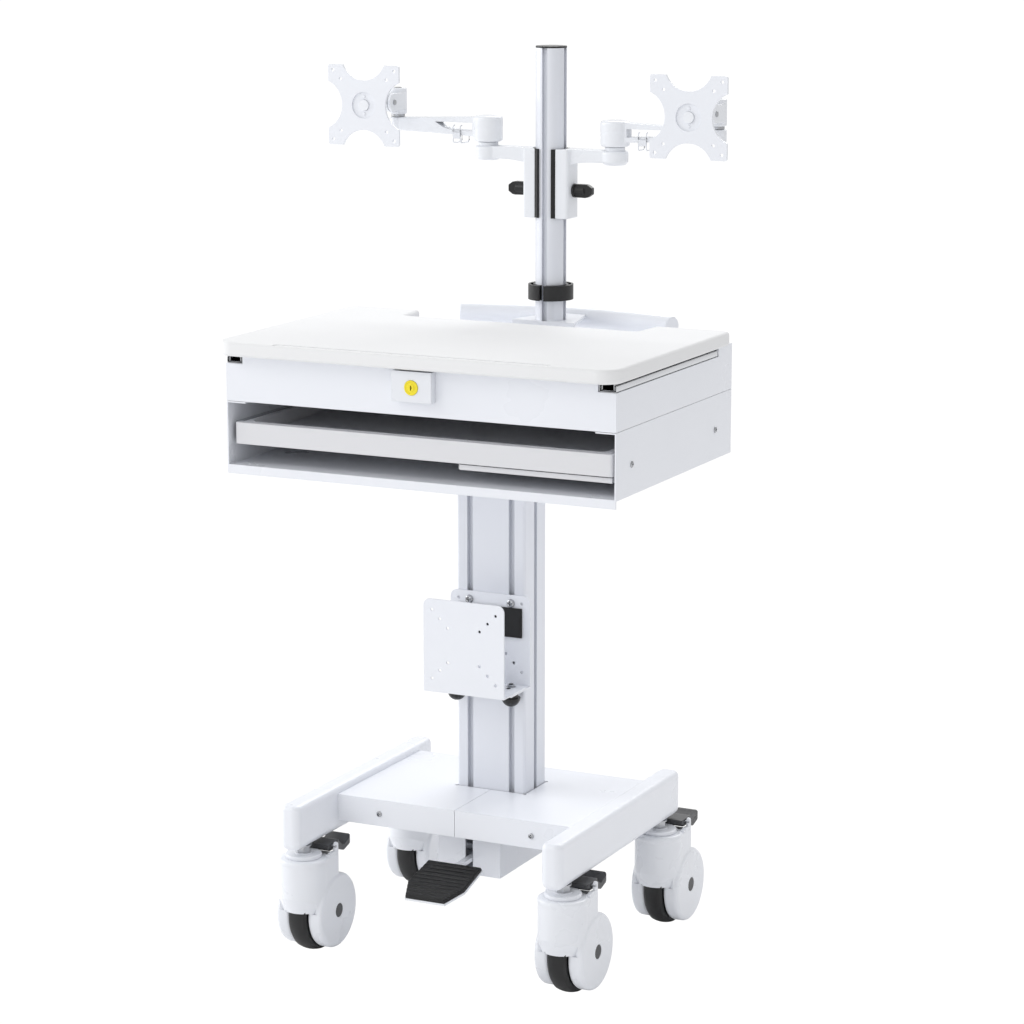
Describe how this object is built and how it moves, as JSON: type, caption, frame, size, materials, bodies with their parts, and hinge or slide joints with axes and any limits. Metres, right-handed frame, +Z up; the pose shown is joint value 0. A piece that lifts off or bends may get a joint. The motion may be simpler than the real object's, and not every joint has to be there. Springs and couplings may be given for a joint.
{
  "type": "medication cart",
  "caption": "Height-adjustable medical cart: braked casters, column lift with foot pedal, sliding lockable worktop, keyboard and mouse trays, push handle and twin monitor arms.",
  "frame": {"origin": "on the floor under the centre of the cart's overall footprint, column lowered, arms spread", "axes": "+X to the right of the user, +Y away from the user, +Z up; the user stands on the -Y side"},
  "size_m": [0.629, 0.54, 1.2765],
  "materials": {
    "white_paint": "semi-gloss powder coat",
    "white_cast": "smooth satin paint",
    "white_plastic": "smooth, slightly glossy",
    "worktop_plastic": "fine matte grain",
    "tray_plastic": "fine matte grain",
    "anodised_aluminium": "satin anodised, vertical extrusion grain",
    "zinc_steel": "zinc plated",
    "chrome_screws": "polished",
    "slide_steel": "bright rolled steel",
    "black_plastic": "satin black",
    "black_rubber": "matt black",
    "grey_plastic": "dark grey, satin",
    "wheel_rubber": "dark grey tread",
    "spring_steel": "black lacquer",
    "lock_brass": "polished"
  },
  "bodies": {
    "base": {"base_rails": "white_paint", "base_cross_beam": "zinc_steel", "deck_cover_left": "white_paint", "deck_cover_right": "white_paint", "base_screws": "chrome_screws", "column": "anodised_aluminium", "pedal_housing": "white_paint", "gas_spring_cylinder": "spring_steel", "bracket_back_plate": "white_paint", "bracket_pad": "black_rubber", "caster_stems": "zinc_steel"},
    "foot_pedal_body": {"foot_pedal": "white_cast", "pedal_pad": "black_rubber"},
    "bracket_front": {"bracket_front_plate": "white_paint"},
    "knob_left": {"bracket_knob_left": "black_plastic"},
    "knob_right": {"bracket_knob_right": "black_plastic"},
    "lift": {"inner_column": "anodised_aluminium", "gas_spring_rod": "zinc_steel", "storage_box": "white_paint", "laptop_compartment": "white_paint", "box_screws": "chrome_screws", "lock_housing": "white_plastic", "worktop_slide_fixed": "slide_steel", "keyboard_slide_fixed": "slide_steel", "mast": "anodised_aluminium", "mast_cap": "black_plastic", "cable_ring": "black_plastic", "mast_bracket": "white_paint", "handle_bar": "white_paint"},
    "lock": {"lock_cylinder": "lock_brass"},
    "worktop_body": {"worktop": "worktop_plastic", "worktop_slide_inner": "slide_steel"},
    "slide_middle": {"worktop_slide_middle": "slide_steel"},
    "keyboard": {"keyboard_tray": "tray_plastic", "keyboard_slide_inner": "slide_steel"},
    "mouse": {"mouse_tray": "tray_plastic"},
    "caster_front_left": {"caster_fork_front_left": "white_plastic"},
    "wheel_front_left": {"caster_wheel_front_left": "wheel_rubber"},
    "brake_front_left": {"brake_lever_front_left": "grey_plastic"},
    "caster_front_right": {"caster_fork_front_right": "white_plastic"},
    "wheel_front_right": {"caster_wheel_front_right": "wheel_rubber"},
    "brake_front_right": {"brake_lever_front_right": "grey_plastic"},
    "caster_rear_left": {"caster_fork_rear_left": "white_plastic"},
    "wheel_rear_left": {"caster_wheel_rear_left": "wheel_rubber"},
    "brake_rear_left": {"brake_lever_rear_left": "grey_plastic"},
    "caster_rear_right": {"caster_fork_rear_right": "white_plastic"},
    "wheel_rear_right": {"caster_wheel_rear_right": "wheel_rubber"},
    "brake_rear_right": {"brake_lever_rear_right": "grey_plastic"},
    "clamp_body_left": {"clamp_left": "white_cast"},
    "clamp_screw_left": {"clamp_knob_left": "black_plastic"},
    "arm_left": {"monitor_arm_left": "white_cast"},
    "head_left": {"monitor_head_left": "white_cast"},
    "tilt_left": {"tilt_hub_left": "white_cast"},
    "plate_left": {"monitor_plate_left": "white_paint"},
    "clamp_body_right": {"clamp_right": "white_cast"},
    "clamp_screw_right": {"clamp_knob_right": "black_plastic"},
    "arm_right": {"monitor_arm_right": "white_cast"},
    "head_right": {"monitor_head_right": "white_cast"},
    "tilt_right": {"tilt_hub_right": "white_cast"},
    "plate_right": {"monitor_plate_right": "white_paint"}
  },
  "joints": [
    {"name": "column_lift", "type": "slide", "parent": "base", "child": "lift", "axis": [0, 0, 1], "range_m": [0, 0.3]},
    {"name": "foot_pedal_press", "type": "hinge", "parent": "base", "child": "foot_pedal_body", "pos_m": [0, -0.035, 0.137], "axis": [1, 0, 0], "range_deg": [0, 6], "stiffness_Nm_per_rad": 25, "springref_deg": -8.59},
    {"name": "bracket_depth", "type": "slide", "parent": "base", "child": "bracket_front", "axis": [0, 1, 0], "range_m": [0, 0.012]},
    {"name": "bracket_knob_left_turn", "type": "hinge", "parent": "base", "child": "knob_left", "pos_m": [-0.043, -0.0426, 0.38], "axis": [0, 0, 1], "range_deg": [-180, 180]},
    {"name": "bracket_knob_right_turn", "type": "hinge", "parent": "base", "child": "knob_right", "pos_m": [0.043, -0.0426, 0.38], "axis": [0, 0, 1], "range_deg": [-180, 180]},
    {"name": "lock_turn", "type": "hinge", "parent": "lift", "child": "lock", "pos_m": [0, -0.247, 0.8445], "axis": [0, 1, 0], "range_deg": [-90, 0]},
    {"name": "worktop_slide", "type": "slide", "parent": "lift", "child": "worktop_body", "axis": [0, -1, 0], "range_m": [0, 0.25]},
    {"name": "worktop_slide_middle_travel", "type": "slide", "parent": "lift", "child": "slide_middle", "axis": [0, -1, 0], "range_m": [0, 0.125]},
    {"name": "keyboard_slide", "type": "slide", "parent": "lift", "child": "keyboard", "axis": [0, -1, 0], "range_m": [0, 0.25]},
    {"name": "mouse_tray_slide", "type": "slide", "parent": "keyboard", "child": "mouse", "axis": [0, -1, 0], "range_m": [0, 0.19]},
    {"name": "caster_swivel_front_left", "type": "hinge", "parent": "base", "child": "caster_front_left", "pos_m": [-0.204, -0.21, 0.14], "axis": [0, 0, 1], "continuous": true},
    {"name": "wheel_spin_front_left", "type": "hinge", "parent": "caster_front_left", "child": "wheel_front_left", "pos_m": [-0.204, -0.174, 0.061], "axis": [1, 0, 0], "continuous": true},
    {"name": "brake_press_front_left", "type": "hinge", "parent": "caster_front_left", "child": "brake_front_left", "pos_m": [-0.204, -0.175, 0.156], "axis": [-1, 0, 0], "range_deg": [0, 12]},
    {"name": "caster_swivel_front_right", "type": "hinge", "parent": "base", "child": "caster_front_right", "pos_m": [0.204, -0.21, 0.14], "axis": [0, 0, 1], "continuous": true},
    {"name": "wheel_spin_front_right", "type": "hinge", "parent": "caster_front_right", "child": "wheel_front_right", "pos_m": [0.204, -0.174, 0.061], "axis": [1, 0, 0], "continuous": true},
    {"name": "brake_press_front_right", "type": "hinge", "parent": "caster_front_right", "child": "brake_front_right", "pos_m": [0.204, -0.175, 0.156], "axis": [-1, 0, 0], "range_deg": [0, 12]},
    {"name": "caster_swivel_rear_left", "type": "hinge", "parent": "base", "child": "caster_rear_left", "pos_m": [-0.204, 0.12, 0.14], "axis": [0, 0, 1], "continuous": true},
    {"name": "wheel_spin_rear_left", "type": "hinge", "parent": "caster_rear_left", "child": "wheel_rear_left", "pos_m": [-0.204, 0.156, 0.061], "axis": [1, 0, 0], "continuous": true},
    {"name": "brake_press_rear_left", "type": "hinge", "parent": "caster_rear_left", "child": "brake_rear_left", "pos_m": [-0.204, 0.155, 0.156], "axis": [-1, 0, 0], "range_deg": [0, 12]},
    {"name": "caster_swivel_rear_right", "type": "hinge", "parent": "base", "child": "caster_rear_right", "pos_m": [0.204, 0.12, 0.14], "axis": [0, 0, 1], "continuous": true},
    {"name": "wheel_spin_rear_right", "type": "hinge", "parent": "caster_rear_right", "child": "wheel_rear_right", "pos_m": [0.204, 0.156, 0.061], "axis": [1, 0, 0], "continuous": true},
    {"name": "brake_press_rear_right", "type": "hinge", "parent": "caster_rear_right", "child": "brake_rear_right", "pos_m": [0.204, 0.155, 0.156], "axis": [-1, 0, 0], "range_deg": [0, 12]},
    {"name": "clamp_height_left", "type": "slide", "parent": "lift", "child": "clamp_body_left", "axis": [0, 0, 1], "range_m": [-0.08, 0.12]},
    {"name": "clamp_knob_turn_left", "type": "hinge", "parent": "clamp_body_left", "child": "clamp_screw_left", "pos_m": [-0.045, 0.178, 1.0705], "axis": [-1, 0, 0], "range_deg": [-180, 180]},
    {"name": "arm_swivel_left", "type": "hinge", "parent": "clamp_body_left", "child": "arm_left", "pos_m": [-0.101, 0.178, 1.15], "axis": [0, 0, -1], "range_deg": [-60, 30]},
    {"name": "head_swivel_left", "type": "hinge", "parent": "arm_left", "child": "head_left", "pos_m": [-0.2545, 0.188, 1.155], "axis": [0, 0, -1], "range_deg": [-45, 45]},
    {"name": "head_tilt_left", "type": "hinge", "parent": "head_left", "child": "tilt_left", "pos_m": [-0.2545, 0.152, 1.1895], "axis": [1, 0, 0], "range_deg": [-20, 20]},
    {"name": "plate_turn_left", "type": "hinge", "parent": "tilt_left", "child": "plate_left", "pos_m": [-0.2545, 0.081, 1.1895], "axis": [0, 1, 0], "range_deg": [-90, 90]},
    {"name": "clamp_height_right", "type": "slide", "parent": "lift", "child": "clamp_body_right", "axis": [0, 0, 1], "range_m": [-0.08, 0.12]},
    {"name": "clamp_knob_turn_right", "type": "hinge", "parent": "clamp_body_right", "child": "clamp_screw_right", "pos_m": [0.045, 0.178, 1.0705], "axis": [1, 0, 0], "range_deg": [-180, 180]},
    {"name": "arm_swivel_right", "type": "hinge", "parent": "clamp_body_right", "child": "arm_right", "pos_m": [0.101, 0.178, 1.15], "axis": [0, 0, 1], "range_deg": [-60, 30]},
    {"name": "head_swivel_right", "type": "hinge", "parent": "arm_right", "child": "head_right", "pos_m": [0.2545, 0.188, 1.155], "axis": [0, 0, 1], "range_deg": [-45, 45]},
    {"name": "head_tilt_right", "type": "hinge", "parent": "head_right", "child": "tilt_right", "pos_m": [0.2545, 0.152, 1.1895], "axis": [1, 0, 0], "range_deg": [-20, 20]},
    {"name": "plate_turn_right", "type": "hinge", "parent": "tilt_right", "child": "plate_right", "pos_m": [0.2545, 0.081, 1.1895], "axis": [0, 1, 0], "range_deg": [-90, 90]}
  ],
  "couplings": [
    {"joint": "worktop_slide_middle_travel", "follows": "worktop_slide", "ratio": 0.5}
  ]
}
